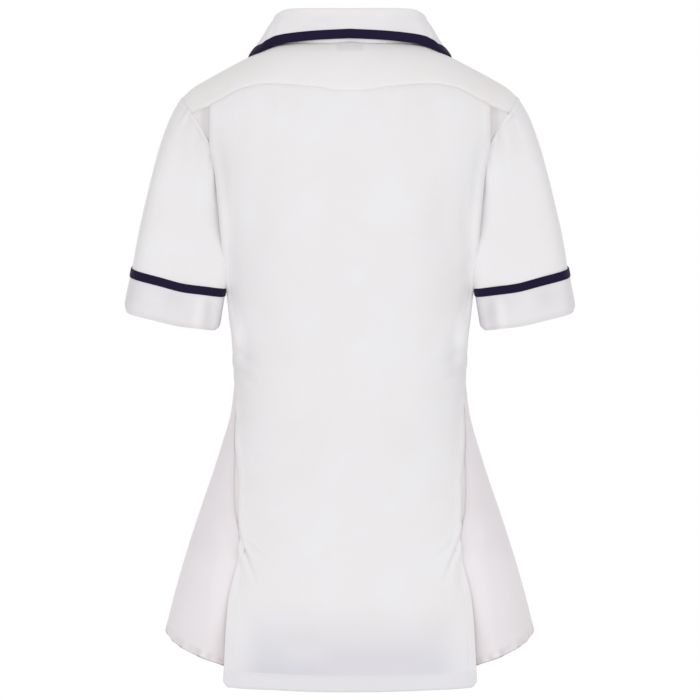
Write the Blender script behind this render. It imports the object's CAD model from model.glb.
import itertools
import math

import bpy
import numpy as np
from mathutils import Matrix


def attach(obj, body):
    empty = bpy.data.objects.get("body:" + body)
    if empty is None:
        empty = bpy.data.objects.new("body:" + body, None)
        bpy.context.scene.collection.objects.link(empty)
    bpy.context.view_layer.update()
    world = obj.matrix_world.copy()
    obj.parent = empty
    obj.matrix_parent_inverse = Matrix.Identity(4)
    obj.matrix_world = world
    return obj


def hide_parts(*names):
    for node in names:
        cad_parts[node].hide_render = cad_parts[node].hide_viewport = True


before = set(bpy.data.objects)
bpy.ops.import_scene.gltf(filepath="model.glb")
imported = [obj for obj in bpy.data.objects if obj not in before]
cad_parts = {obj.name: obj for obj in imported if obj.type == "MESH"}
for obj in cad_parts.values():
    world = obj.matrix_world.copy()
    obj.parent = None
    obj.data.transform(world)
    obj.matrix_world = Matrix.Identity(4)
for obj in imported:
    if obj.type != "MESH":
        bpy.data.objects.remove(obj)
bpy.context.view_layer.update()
print("frame loaded:", len(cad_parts), "nodes")

mm = 0.001
bodyForm = {
    "sections": (  # height, half width, depth behind, depth in front, squareness
        (-0.74, 0.223, 0.111, 0.117, 2.1), (-0.651, 0.2065, 0.115, 0.1135, 2.15),
        (-0.6, 0.193, 0.114, 0.1105, 2.2), (-0.53, 0.171, 0.106, 0.105, 2.2),
        (-0.46, 0.1485, 0.09, 0.097, 2.25), (-0.41, 0.1355, 0.079, 0.093, 2.3),
        (-0.367, 0.1318, 0.0755, 0.094, 2.3),
        (-0.31, 0.1345, 0.0835, 0.1065, 2.35), (-0.26, 0.14, 0.0925, 0.1185, 2.4),
        (-0.215, 0.1475, 0.0995, 0.126, 2.4), (-0.15, 0.1625, 0.105, 0.126, 2.4),
        (-0.11, 0.18, 0.105, 0.126, 2.4), (-0.06, 0.205, 0.105, 0.126, 2.4), (0.02, 0.215, 0.105, 0.126, 2.4),
    ),
    "ridge": (  # shoulder line: distance from the middle, height
        (0, 0.0134), (0.078, 0.002), (0.113, -0.0122), (0.14, -0.026), (0.163, -0.0384), (0.18, -0.0485),
        (0.1895, -0.0572), (0.215, -0.084),
    ),
    "ridgeY": 0.005,
    "backTurn": (-0.150, 2.5),  # where the back starts to curve over the shoulder, how squarely
    "frontTurn": (-0.215, 1.9),
    "turnScale": 0.105,
    "neckHalfWidth": 0.078,
}
armhole = {
    "back": (  # height, distance from the middle
        (-0.225, 0.146), (-0.2, 0.146), (-0.17, 0.1485), (-0.14, 0.152), (-0.1155, 0.1575), (-0.095, 0.1685),
        (-0.08, 0.1785), (-0.068, 0.1865), (-0.0558, 0.1895),
    ),
    "front": (
        (-0.225, 0.146), (-0.2, 0.145), (-0.17, 0.145), (-0.14, 0.1475), (-0.115, 0.1535), (-0.095, 0.162),
        (-0.08, 0.1715), (-0.068, 0.1825), (-0.0558, 0.1895),
    ),
    "turns": (  # degrees of the sleeve, from its outer side to the underarm; height
        (0, -0.0558), (18, -0.0605), (36, -0.067), (54, -0.074), (72, -0.08), (90, -0.095), (108, -0.115),
        (126, -0.14), (144, -0.17), (162, -0.2), (180, -0.225),
    ),
    "yokeEnd": 72,
    "curlStart": 162,  # where it rounds under the arm
    "tip": (0.1895, -0.0572),
    "underarm": -0.225,
}


def smoothTable(rows, column=1):  # a smooth curve through a table, flat at each turning point
    table = np.array(sorted(rows), float)
    x, y = table[:, 0], table[:, column]
    steps = np.diff(y) / np.diff(x)
    slopes = np.concatenate(([steps[0]], np.zeros(len(x) - 2), [steps[-1]]))
    before, after = steps[:-1], steps[1:]
    sameWay = before * after > 0
    slopes[1:-1][sameWay] = 2 * (before * after)[sameWay] / (before + after)[sameWay]

    def value(at):
        at = np.clip(np.asarray(at, float), x[0], x[-1])
        i = np.clip(np.searchsorted(x, at, side="right") - 1, 0, len(x) - 2)
        width = x[i + 1] - x[i]
        t = (at - x[i]) / width
        start = (1 + 2 * t) * (1 - t) ** 2 * y[i] + t * (1 - t) ** 2 * width * slopes[i]
        end = t * t * (3 - 2 * t) * y[i + 1] - t * t * (1 - t) * width * slopes[i + 1]
        return start + end

    return value


halfWidth, backDepth, frontDepth, squareness = (smoothTable(bodyForm["sections"], k) for k in (1, 2, 3, 4))
ridgeHeight = smoothTable(bodyForm["ridge"])
armholeBack, armholeFront, heightAtTurn = (smoothTable(armhole[key]) for key in ("back", "front", "turns"))


def ease(t):
    t = np.clip(t, 0, 1)
    return t * t * (3 - 2 * t)


def fade(distance, reach):  # 0 at no distance, 1 from the reach on, which is in mm
    return ease(distance / (reach * mm))


def bell(distance, width):  # 1 at no distance, next to nothing beyond twice the width
    return np.exp(-((distance / width) ** 2))


def joined(*parts):  # coordinates side by side, as points
    return np.stack(parts, axis=-1)


def unit(vectors):
    return vectors / np.maximum(np.linalg.norm(vectors, axis=-1, keepdims=True), 1e-12)


def runAlong(points, axis=0):  # distance of each point from the first, along one axis of a grid
    steps = np.linalg.norm(np.diff(points, axis=axis), axis=-1)
    return np.concatenate([np.zeros_like(steps.take([0], axis)), np.cumsum(steps, axis=axis)], axis=axis)


def bezier(t, start, first, last, end):
    return (1 - t) ** 3 * start + 3 * (1 - t) ** 2 * t * first + 3 * (1 - t) * t * t * last + t**3 * end


def flipped(*sets):  # the mirror image of points, normals or uv, on the other side of the middle
    return [values * np.array([-1, 1, 1])[: values.shape[-1]] for values in sets]


def ridgeStation(back):
    return bodyForm["backTurn" if back else "frontTurn"][0] + bodyForm["turnScale"] * math.pi / 2


def bodyHalf(angle, station, back):  # angle: 0 at the side, 90 degrees at the middle
    turn, power = bodyForm["backTurn" if back else "frontTurn"]
    climb = np.clip((station - turn) / bodyForm["turnScale"], 0, math.pi / 2)
    rise = np.sin(climb) ** (2 / power)
    height = np.minimum(station, turn)

    def acrossAt(height):
        return halfWidth(height) * np.sign(np.cos(angle)) * np.abs(np.cos(angle)) ** (2 / squareness(height))

    across = acrossAt(height)
    for _ in range(12):
        height = np.where(climb > 0, turn + (ridgeHeight(np.abs(across)) - turn) * rise, height)
        across = acrossAt(height)
    depth = backDepth(height) if back else frontDepth(height)
    share = np.abs(np.sin(angle)) ** (2 / squareness(height)) * np.cos(climb) ** (2 / power)
    deep = bodyForm["ridgeY"] + (1 if back else -1) * depth * share
    return np.stack(np.broadcast_arrays(across, deep, height), axis=-1)


def body(domain):  # points of the form for (angle, station) pairs, the back where the angle is above 0
    angle, station = domain[..., 0], domain[..., 1]
    behind, before = bodyHalf(angle, station, True), bodyHalf(angle, station, False)
    return np.where((angle >= 0)[..., None], behind, before)


def bodyNormals(domain, back):
    nudge = 1e-4
    here = domain.copy()
    here[..., 1] = np.minimum(here[..., 1], ridgeStation(back) - 2 * nudge)
    if back:
        here[..., 0] = np.maximum(here[..., 0], 2 * nudge)
    sideways = body(here + [nudge, 0]) - body(here - [nudge, 0])
    upward = body(here + [0, nudge]) - body(here - [0, nudge])
    return unit(np.cross(sideways, upward))


def roundNormals(domain):  # for a patch that reaches round the side
    share = ease((domain[..., 0] + 0.1) / 0.2)[..., None]
    return unit(bodyNormals(domain, False) * (1 - share) + bodyNormals(domain, True) * share)


def locate(across, height, back):  # the (angle, station) pair of a point on the form
    across, height = np.broadcast_arrays(np.asarray(across, float), np.asarray(height, float))
    turn, power = bodyForm["backTurn" if back else "frontTurn"]
    share = np.clip(across / halfWidth(height), 0, 1)
    angle = np.arccos(share ** (squareness(height) / 2))
    rise = np.clip((height - turn) / (ridgeHeight(across) - turn), 0, 1)
    curved = turn + bodyForm["turnScale"] * np.arcsin(rise ** (power / 2))
    return joined(angle if back else -angle, np.where(height > turn, curved, height))


def armholeAt(turn):  # degrees round the armhole: 0 at the shoulder, 180 under the arm, then the front
    turn = np.asarray(turn, float)
    folded = np.where(turn <= 180, turn, 360 - turn)
    height = heightAtTurn(folded)
    behind = locate(armholeBack(height), height, True)
    before = locate(armholeFront(height), height, False)
    domain = np.where((turn <= 180)[..., None], behind, before)
    curl = armhole["curlStart"]
    curlHeight = heightAtTurn(curl)
    backCorner = locate(armholeBack(curlHeight), curlHeight, True)[0]
    frontCorner = locate(armholeFront(curlHeight), curlHeight, False)[0]
    left = np.clip((180 - folded) / (180 - curl), 0, 1)
    angle = left * np.where(turn <= 180, backCorner, frontCorner)
    station = armhole["underarm"] + (curlHeight - armhole["underarm"]) * left**2
    return np.where((folded > curl)[..., None], joined(angle, station), domain)


def evenly(curve, count, start=0.0, end=1.0):  # cuts a curve on the form into equal stretches
    fine = np.linspace(start, end, 500)
    run = runAlong(body(curve(fine)))
    return curve(np.interp(np.linspace(0, run[-1], count), run, fine))


def spread(count, *zones):  # 0 to 1 in uneven steps; a zone: from, to, size of its steps beside the others
    fine = np.linspace(0, 1, 801)
    steps = np.ones(801)
    for start, end, size in zones:
        inside = ease((fine - start) / 0.04 + 0.5) * ease((end - fine) / 0.04 + 0.5)
        steps = steps * (1 - inside) + size * inside
    run = np.concatenate([[0], np.cumsum((1 / steps[1:] + 1 / steps[:-1]) / 2)])
    return np.interp(np.linspace(0, run[-1], count), run, fine)


def between(points, shares):  # points picked at shares of the way along an evenly cut curve
    even = np.linspace(0, 1, len(points))
    return joined(*(np.interp(shares, even, column) for column in points.T))


def coons(top, bottom, left, right, along=None, down=None):  # a grid between four edges
    down = (np.linspace(0, 1, len(left)) if down is None else down)[:, None, None]
    along = (np.linspace(0, 1, len(top)) if along is None else along)[None, :, None]
    byRows = (1 - down) * top[None] + down * bottom[None]
    byColumns = (1 - along) * left[:, None] + along * right[:, None]
    corners = (1 - down) * ((1 - along) * top[0] + along * top[-1])
    return byRows + byColumns - corners - down * ((1 - along) * bottom[0] + along * bottom[-1])


def mirrored(grid):
    return grid[:, ::-1] * [-1, 1, 1]


def withMirror(half):
    return np.concatenate([mirrored(half)[:, :-1], half], axis=1)


# Cloth: what gives a smooth form its creases, puckers and edges
clothSizes = {
    "wall": 0.9 * mm,
    "doubleWall": 1.5 * mm,
    "hemWall": 2.0 * mm,
    "seamDrop": 0.75 * mm,
    "seamWidth": 1.5 * mm,
}


def wander(points, size, seed):  # smooth unevenness between -1 and 1; size may differ by axis
    lattice = np.random.default_rng(seed).uniform(-1, 1, (24, 24, 24))
    cell = points / np.asarray(size, float)
    base = np.floor(cell).astype(int)
    t = ease(cell - base)
    total = np.zeros(points.shape[:-1])
    for corner in itertools.product((0, 1), repeat=3):
        index = (base + np.array(corner)) % 24
        weight = np.prod(np.where(np.array(corner) == 1, t, 1 - t), axis=-1)
        total += weight * lattice[index[..., 0], index[..., 1], index[..., 2]]
    return total


def lengths(grid):  # distance of each point from the grid's left, right, top and bottom edges
    left, top = runAlong(grid, 1), runAlong(grid)
    right, bottom = left[:, -1:] - left, top[-1:] - top
    return {"left": left, "right": right, "top": top, "bottom": bottom, "side": np.minimum(left, right)}


def laid(domain, back, whole=True):  # a patch on the form: its points, normals and edge distances
    base, outward = body(domain), bodyNormals(domain, back)
    if whole:
        base, outward = withMirror(base), withMirror(outward)
    return base, outward, lengths(base)


def below(height, level, soft):  # 0 above a level, 1 once below it by its softness
    return ease((level - height) / soft)


def inZone(height, low, lowSoft, high, highSoft):  # 1 between two heights, each with its softness
    return ease((height - low) / lowSoft) * below(height, high, highSoft)


def creases(place, rows, strength=1.0):
    # rows, in mm: from a, b; bending by a, b; to a, b; width; depth; strength at the start
    lift = np.zeros(place.shape[:-1])
    for row in rows:
        ax, az, bx, bz, cx, cz, width, depth, atStart = row
        t = np.linspace(0, 1, 21)[:, None]
        path = (1 - t) ** 2 * [ax, az] + 2 * t * (1 - t) * np.array([bx, bz]) + t * t * [cx, cz]
        path *= mm
        width = width * mm
        low, high = path.min(0) - 5 * width, path.max(0) + 5 * width
        inside = np.all((place > low) & (place < high), axis=-1)
        spots = place[inside]
        nearest = np.full(len(spots), 1e9)
        signed, along = np.zeros(len(spots)), np.zeros(len(spots))
        for i in range(len(path) - 1):
            step = path[i + 1] - path[i]
            offset = spots - path[i]
            share = np.clip(offset @ step / max(step @ step, 1e-12), 0, 1)
            away = offset - share[:, None] * step
            distance = np.hypot(away[:, 0], away[:, 1])
            side = step[0] * offset[:, 1] - step[1] * offset[:, 0]
            closer = distance < nearest
            nearest = np.where(closer, distance, nearest)
            signed = np.where(closer, distance * np.sign(side), signed)
            along = np.where(closer, (i + share) / (len(path) - 1), along)
        taper = (atStart + (1 - atStart) * ease(along / 0.3)) * ease((1 - along) / 0.5)
        trough = bell(signed, width)
        shoulder = 0.42 * bell(signed - 1.8 * width, 1.2 * width)
        shoulder += 0.22 * bell(signed + 1.9 * width, 1.3 * width)
        lift[inside] -= strength * depth * mm * taper * (trough - shoulder)
    return lift


def bothSides(rows, shift=2.0):  # the same creases on the other side, a little off their mirror image
    made = list(rows)
    for i, (ax, az, bx, bz, cx, cz, width, depth, atStart) in enumerate(rows):
        slip = shift * math.sin(2.1 * i + 1)
        shallower = depth * (1 - 0.06 * slip)
        made.append((-ax, az, -bx, bz + slip, -cx + slip, cz - slip, width, shallower, atStart))
    return made


def sheetNormals(grid, like):  # on the side that the rough direction gives
    normals = unit(np.cross(np.gradient(grid, axis=1), np.gradient(grid, axis=0)))
    return normals if np.sum(normals * like) > 0 else -normals


def seamEdge(distance):  # cloth bends in at a seam
    return -clothSizes["seamDrop"] * bell(distance, clothSizes["seamWidth"])


def stitchDip(distance, at, depth=0.28, width=0.9):  # depth and width in mm
    return -depth * mm * bell(distance - at, width * mm)


def puckers(along, distance, size, depth, reach, seed):  # ripples square to a seam, all three sizes in mm
    flat = joined(along, distance * 0.12, np.zeros_like(along))
    return depth * mm * wander(flat, size * mm, seed) * bell(distance, reach * mm)


def rollBoth(sheet, radius, tuck):
    return rollUnder(rollUnder(sheet, "left", radius, tuck), "right", radius, tuck)


def rollUnder(sheet, edge, radius, tuck):  # turns one edge of a sheet under the cloth
    swap, flip = edge in ("top", "bottom"), edge in ("top", "left")

    def turned(values):
        values = np.swapaxes(values, 0, 1) if swap else values
        return values[:, ::-1] if flip else values

    grid, outward, uv = (turned(values) for values in sheet)
    last, normal = grid[:, -1], outward[:, -1]
    way = unit(last - grid[:, -2])
    way = unit(way - normal * np.sum(way * normal, axis=-1, keepdims=True))
    onward = unit(uv[:, -1] - uv[:, -2])
    points, normals, flats = [], [], []
    for k in range(1, 7):
        turn = math.pi * k / 6
        points.append(last + way * radius * math.sin(turn) + normal * radius * (math.cos(turn) - 1))
        normals.append(normal * math.cos(turn) + way * math.sin(turn))
        flats.append(uv[:, -1] + onward * radius * turn)
    for k in range(1, 4):
        points.append(last - normal * 2 * radius - way * tuck * k / 3)
        normals.append(-normal)
        flats.append(uv[:, -1] + onward * (radius * math.pi + tuck * k / 3))
    whole = []
    for values, more in zip((grid, outward, uv), (points, normals, flats)):
        values = np.concatenate([values, np.stack(more, axis=1)], axis=1)
        values = values[:, ::-1] if flip else values
        whole.append(np.swapaxes(values, 0, 1) if swap else values)
    return whole


def added(name, data):  # a new object in the scene
    thing = bpy.data.objects.new(name, data)
    bpy.context.scene.collection.objects.link(thing)
    return thing


def clothPiece(name, sheet, wall, wrap=False, under=None):
    # a closed thin shell: outer face, inner face, and a rounded rim between them
    outer, outward, uv = sheet
    rows, columns = outer.shape[:2]
    wall = np.broadcast_to(wall, (rows, columns))[..., None]
    inner = outer - outward * wall
    index = np.arange(rows * columns).reshape(rows, columns)
    if wrap:
        index = np.concatenate([index, index[:, :1]], axis=1)
    a, b, c, d = index[:-1, :-1], index[:-1, 1:], index[1:, 1:], index[1:, :-1]
    quads = joined(a, b, c, d).reshape(-1, 4)
    layer = rows * columns
    inward = np.gradient(outer, axis=0)
    if wrap:
        loops = [(index[0, :-1], -inward[0]), (index[-1, :-1][::-1], inward[-1][::-1])]
    else:
        border = [index[0, :-1], index[:-1, -1], index[-1, :0:-1], index[:0:-1, 0]]
        sideways = np.gradient(outer, axis=1)
        ways = [-inward[0, :-1], sideways[:-1, -1], inward[-1, :0:-1], -sideways[:0:-1, 0]]
        loops = [(np.concatenate(border), np.concatenate(ways))]
    flatOuter, flatInner = outer.reshape(-1, 3), inner.reshape(-1, 3)
    flatWall, flatUv = wall.reshape(-1, 1), uv.reshape(-1, 2)
    points, uvs, faces = [flatOuter, flatInner], [flatUv, flatUv], [quads, quads[:, ::-1] + layer]
    start = 2 * layer
    for loop, way in loops:
        middle = (flatOuter[loop] + flatInner[loop]) / 2 + unit(way) * flatWall[loop] * 0.5
        points.append(middle)
        uvs.append(flatUv[loop])
        p, q = loop, np.roll(loop, -1)
        m, n = start + np.arange(len(loop)), start + np.roll(np.arange(len(loop)), -1)
        faces.append(joined(q, p, m, n))
        faces.append(joined(n, m, p + layer, q + layer))
        start += len(loop)
    points, uvs, faces = np.concatenate(points), np.concatenate(uvs), np.concatenate(faces)
    facing = np.cross(points[b.ravel()] - points[a.ravel()], points[d.ravel()] - points[a.ravel()])
    if np.sum(facing * outward[:-1, : b.shape[1]].reshape(-1, 3)) < 0:
        faces = faces[:, ::-1]
    mesh = bpy.data.meshes.new(name)
    mesh.from_pydata(points.tolist(), [], faces.tolist())
    mesh.shade_smooth()
    corner = uvs[faces.ravel()].reshape(-1, 4, 2)
    if wrap:  # the last column of faces ends where the first begins
        around = np.ptp(uv[..., 0]) * columns / (columns - 1)
        low = corner[..., 0] < corner[..., 0].max(axis=1, keepdims=True) - around / 2
        corner[..., 0] += np.where(low, around, 0)
    mesh.uv_layers.new(name="cut").data.foreach_set("uv", corner.ravel())
    if under is not None:
        values = np.zeros(len(points), np.float32)
        values[:layer] = under.ravel()
        mesh.attributes.new("under", "FLOAT", "POINT").data.foreach_set("value", values)
    return added(name, mesh)


def dress(piece, nodes, material):  # cut: width, length, share of that rectangle
    piece.data.materials.append(material)
    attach(piece, "root")
    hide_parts(*nodes)


def lineAt(grid, distance, at, part=slice(None)):  # the line that runs at a distance from an edge
    points = []
    for j in range(grid.shape[1])[part]:
        order = np.argsort(distance[:, j])
        spots = [np.interp(at, distance[order, j], grid[order, j, k]) for k in range(3)]
        points.append(spots)
    return np.array(points)


def columnAt(grid, distance, at):
    return lineAt(np.swapaxes(grid, 0, 1), distance.T, at)


threadPaths = {"white": [], "navy": []}


def sew(*lines, colour="white"):  # stitches come along these lines at the end
    threadPaths[colour] += lines


def cutPlan(across, down):  # where each point lies in the flat cut
    return joined(across, -down)


# Materials
def fill(tree, node, inputs):  # by name or number, each with a value or with the output that feeds it
    for key, value in inputs.items():
        if isinstance(value, bpy.types.NodeSocket):
            tree.links.new(value, node.inputs[key])
        else:
            node.inputs[key].default_value = value


def addNode(tree, kind, inputs={}, **settings):
    node = tree.nodes.new(kind)
    for key, value in settings.items():
        setattr(node, key, value)
    fill(tree, node, inputs)
    return node


def mathNode(tree, operation, *values):
    return addNode(tree, "ShaderNodeMath", dict(enumerate(values)), operation=operation).outputs[0]


def newGroup(name, kind, inputs, outputs):  # inputs: a number, a colour, or the bare name of a kind
    group = bpy.data.node_groups.new(name, kind)
    for label, value in inputs.items():
        bare = isinstance(value, str)
        kind = value if bare else "Color" if isinstance(value, tuple) else "Float"
        socket = group.interface.new_socket(label, in_out="INPUT", socket_type=f"NodeSocket{kind}")
        if not bare:
            socket.default_value = value
    for label, kind in outputs.items():
        group.interface.new_socket(label, in_out="OUTPUT", socket_type=f"NodeSocket{kind}")
    return group, group.nodes.new("NodeGroupInput").outputs, group.nodes.new("NodeGroupOutput")


def weaveGroup():  # twill: slanting ribs, broken up by the threads that cross them
    inputs = {"Cut": "Vector", "Ribs per metre": 1300.0, "Slant": 1.0, "Thread depth": 0.5}
    group, given, out = newGroup("twillWeave", "ShaderNodeTree", inputs, {"Height": "Float"})
    spot = addNode(group, "ShaderNodeSeparateXYZ", {0: given["Cut"]}).outputs
    across, down = (mathNode(group, "MULTIPLY", spot[k], given["Ribs per metre"]) for k in (0, 1))
    slanted = mathNode(group, "MULTIPLY_ADD", down, given["Slant"], across)
    rib = mathNode(group, "SINE", mathNode(group, "MULTIPLY", slanted, 2 * math.pi))
    thread = mathNode(group, "SINE", mathNode(group, "MULTIPLY", down, 6 * math.pi))
    crossing = mathNode(group, "MULTIPLY", thread, given["Thread depth"])
    fill(group, out, {"Height": mathNode(group, "ADD", rib, crossing)})
    return group


def toneGroup():  # soft patches of a cooler and a warmer white, and fine mottling
    inputs = {"Place": "Vector", "Cool": (0.8, 0.8, 0.8, 1), "Warm": (0.8, 0.78, 0.77, 1),
              "Patch size": 16.0, "Rough from": 0.7, "Rough to": 0.85}
    outputs = {"Color": "Color", "Roughness": "Float"}
    group, given, out = newGroup("clothTone", "ShaderNodeTree", inputs, outputs)
    noises = []
    for scale, detail in ((given["Patch size"], 3), (900, 2)):
        noise = {"Vector": given["Place"], "Scale": scale, "Detail": detail}
        noises.append(addNode(group, "ShaderNodeTexNoise", noise).outputs["Fac"])
    patches, fine = noises
    share = addNode(group, "ShaderNodeMapRange", {"Value": patches, "From Min": 0.35, "From Max": 0.65})
    mix = addNode(group, "ShaderNodeMix", {
        0: share.outputs[0], 6: given["Cool"], 7: given["Warm"]}, data_type="RGBA")
    speck = addNode(group, "ShaderNodeHueSaturation", {
        "Value": mathNode(group, "MULTIPLY_ADD", fine, 0.06, 0.97), "Color": mix.outputs[2]})
    rough = addNode(group, "ShaderNodeMapRange", {
        "Value": fine, "To Min": given["Rough from"], "To Max": given["Rough to"]})
    fill(group, out, {"Color": speck.outputs[0], "Roughness": rough.outputs[0]})
    return group


weave, tone = weaveGroup(), toneGroup()


def clothMaterial(name, look):
    material = bpy.data.materials.new(name)
    material.use_nodes = True
    tree = material.node_tree
    tones = addNode(tree, "ShaderNodeGroup", {
        "Place": addNode(tree, "ShaderNodeTexCoord").outputs["Object"],
        "Cool": (*look["cool"], 1),
        "Warm": (*look["warm"], 1),
        "Rough from": look["rough"][0],
        "Rough to": look["rough"][1],
    }, node_tree=tone).outputs
    colour = tones["Color"]
    if "behind" in look:  # what lies behind shows through
        under = addNode(tree, "ShaderNodeAttribute", attribute_name="under").outputs["Fac"]
        shade = {0: under, 6: colour, 7: (*look["behind"], 1)}
        colour = addNode(tree, "ShaderNodeMix", shade, data_type="RGBA").outputs[2]
    twill = addNode(tree, "ShaderNodeGroup", {
        "Cut": addNode(tree, "ShaderNodeUVMap", uv_map="cut").outputs[0],
        "Ribs per metre": look["ribs"],
        "Slant": look["slant"],
        "Thread depth": look["threads"],
    }, node_tree=weave)
    bump = addNode(tree, "ShaderNodeBump", {
        "Strength": look["bump"], "Distance": look["relief"], "Height": twill.outputs["Height"]})
    fill(tree, tree.nodes["Principled BSDF"], {
        "Base Color": colour,
        "Roughness": tones["Roughness"],
        "Normal": bump.outputs[0],
        "Sheen Weight": look["sheen"],
        "Sheen Roughness": 0.5,
        "Specular IOR Level": look["specular"],
    })
    return material


whiteLook = {
    "cool": (0.838, 0.824, 0.834),
    "warm": (0.830, 0.805, 0.807),
    "behind": (0.668, 0.655, 0.708),  # where nothing backs the cloth, or shade lies behind it
    "rough": (0.72, 0.86),
    "sheen": 0.15,
    "specular": 0.3,
    "ribs": 1350.0,
    "slant": 1.0,
    "threads": 0.45,
    "bump": 0.22,
    "relief": 0.08 * mm,
}
whiteCloth = clothMaterial("whiteTwill", whiteLook)
frontCloth = clothMaterial("whiteTwillFront", {
    **whiteLook, "cool": (0.878, 0.838, 0.862), "warm": (0.868, 0.822, 0.838), "behind": (0.56, 0.50, 0.50)})
cuffCloth = clothMaterial("whiteTwillCuff", {**whiteLook, "behind": (0.675, 0.648, 0.680)})
pleatCloth = clothMaterial("whiteTwillPleat", {**whiteLook, "behind": (0.66, 0.615, 0.61)})
yokeCloth = clothMaterial("whiteTwillDouble", {
    **whiteLook, "cool": (0.860, 0.836, 0.841), "warm": (0.858, 0.824, 0.815), "behind": (0.70, 0.675, 0.665)})
braidLook = {
    "cool": (0.0120, 0.0070, 0.0330),
    "warm": (0.0150, 0.0090, 0.0370),
    "rough": (0.78, 0.9),
    "sheen": 0.05,
    "specular": 0.12,
    "ribs": 1100.0,
    "slant": 1.6,
    "threads": 0.3,
    "bump": 0.5,
    "relief": 0.12 * mm,
}
navyBraid = clothMaterial("navyBraid", braidLook)
labelTape = clothMaterial("labelTape", {
    **whiteLook, "cool": (0.77, 0.765, 0.78), "warm": (0.75, 0.745, 0.75), "ribs": 1800.0, "slant": 0.0})
print("materials made")

# Back panel
backPanel = {
    "seam": (  # yoke seam: distance from the middle, height
        (0, -0.0575), (0.012, -0.0572), (0.044, -0.0525), (0.095, -0.049), (0.117, -0.0525), (0.156, -0.0715),
        (0.1785, -0.08),
    ),
    "edge": (  # pleat, side seam and vent: height, distance from the middle
        (-0.7188, 0.1408), (-0.63, 0.1355), (-0.56, 0.123), (-0.54, 0.1235), (-0.512, 0.124), (-0.493, 0.1245),
        (-0.47, 0.1268), (-0.452, 0.1289), (-0.41, 0.129), (-0.391, 0.1308), (-0.37, 0.1314), (-0.345, 0.1305),
        (-0.3, 0.135), (-0.25, 0.1405), (-0.2, 0.1442), (-0.17, 0.147), (-0.14, 0.1505), (-0.1155, 0.1555),
        (-0.086, 0.156), (-0.0715, 0.156),
    ),
    "pleatTop": 0.156,
    "seamBeyond": 0.1785,
    "pleatEnd": -0.345,
    "waist": -0.391,
    "ventTop": -0.560,
    "hem": -0.7240,
    "corner": -0.7188,
    "pleatLift": 2.8 * mm,
    "underlap": 0.12,
    "blend": 0.55,
    "freeFold": (-0.375, 0.05, -0.13, 0.09),  # where it stands free: heights, each with its softness
    "sideSeam": (-0.575, 0.02, -0.36, 0.03),
    "pleatHollowTop": -0.10,
    "pleatFlat": 17 * mm,  # the free fold of the pleat stands out flat, this far behind the form
    "hemDepth": 17 * mm,
    "hemCorner": 7 * mm,
    "ventStitch": 8 * mm,
    "hangFrom": -0.600,  # below here it hangs in, down to the stiffer hem
    "hangDepth": 8 * mm,
    "hollows": (  # soft shade at the waist: distance from the middle, height, half sizes, strength
        (0.117, -0.354, 0.012, 0.02, 0.15), (0.129, -0.316, 0.006, 0.014, 0.22),
    ),
    "shadeFrom": -0.615,  # below here nothing backs it, which greys it down to the hem
    "hemShade": 0.38,
    "patch": (0.05, 0.05, 0.022),  # size of the unevenness of that grey
    "seed": 11,
    "topPuckers": (9, 0.22, 9, 21),  # size, depth, reach in mm, and seed
    "sidePuckers": (11, 0.75, 10, 22),
    "ventPuckers": (13, 0.2, 9, 23),
    "hemPuckers": (15, 0.25, 14, 24),
    "rows": 280,
    "columns": 76,
    "cut": (0.40, 0.70, 0.80),
    "folds": (  # mm: from x, z; bending by x, z; to x, z; width; depth; strength at the start
        (129, -368, 118, -374, 100, -386, 4.4, 1.6, 1), (129, -349, 120, -352, 110, -360, 5, 1.3, 1),
        (125, -328, 117, -356, 108, -377, 9, 1.6, 0.5), (121, -545, 106, -545, 84, -552, 5, 0.8, 1),
        (122, -632, 110, -654, 93, -694, 13, 1.6, 0.1), (93, -62, 91, -95, 95, -140, 10, 0.7, 0.9),
        (68, -62, 67, -88, 70, -112, 7, 0.45, 0.9), (41, -66, 40, -98, 38, -150, 9, 0.6, 0.9),
        (104, -150, 98, -215, 110, -275, 15, 1.2, 0), (30, -190, 34, -240, 26, -262, 10, 0.6, 0),
        (124, -455, 112, -462, 100, -465, 5, 0.6, 1), (126, -492, 112, -494, 99, -502, 5, 0.6, 1),
        (138, -240, 130, -252, 122, -272, 6, 0.7, 0.8),
    ),
    "ventFolds": (  # these run right from the tack above the vent
        (126, -546, 120, -566, 101, -612, 2.5, 2.7, 1), (119, -556, 112, -564, 88, -582, 3.2, 1.5, 0.6),
        (129, -560, 122, -590, 121, -640, 5, 0.9, 0.6),
    ),
    "drape": (  # hollows that hang across the middle
        (-88, -574, 0, -640, 88, -574, 15, 1.3, 0.1), (-52, -420, 0, -446, 60, -418, 12, 0.7, 0),
        (-70, -492, 4, -526, 62, -486, 12, 0.6, 0), (-30, -330, 2, -346, 34, -326, 10, 0.5, 0),
        (0, -64, 2, -90, -2, -120, 9, 0.5, 0.9),
    ),
}
yokeSeamHeight = smoothTable(backPanel["seam"])
backEdge = smoothTable(backPanel["edge"])
pleatTopHeight = float(yokeSeamHeight(backPanel["pleatTop"]))


def backOuterEdge(heights):
    return locate(backEdge(heights), heights, True)


def yokeSeamAt(share):  # 0 at the middle, 1 at the pleat, beyond 1 towards the armhole
    share = np.asarray(share, float)
    edge = locate(backPanel["pleatTop"], pleatTopHeight, True)[0]
    angles = math.pi / 2 + (edge - math.pi / 2) * np.minimum(share, 1)
    heights = np.full_like(angles, pleatTopHeight)
    for _ in range(20):
        across = halfWidth(heights) * np.maximum(np.cos(angles), 0) ** (2 / squareness(heights))
        heights = yokeSeamHeight(across)
    beyond = backPanel["pleatTop"] + (backPanel["seamBeyond"] - backPanel["pleatTop"]) * (share - 1)
    across = np.where(share > 1, beyond, across)
    return locate(across, yokeSeamHeight(across), True)


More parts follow.
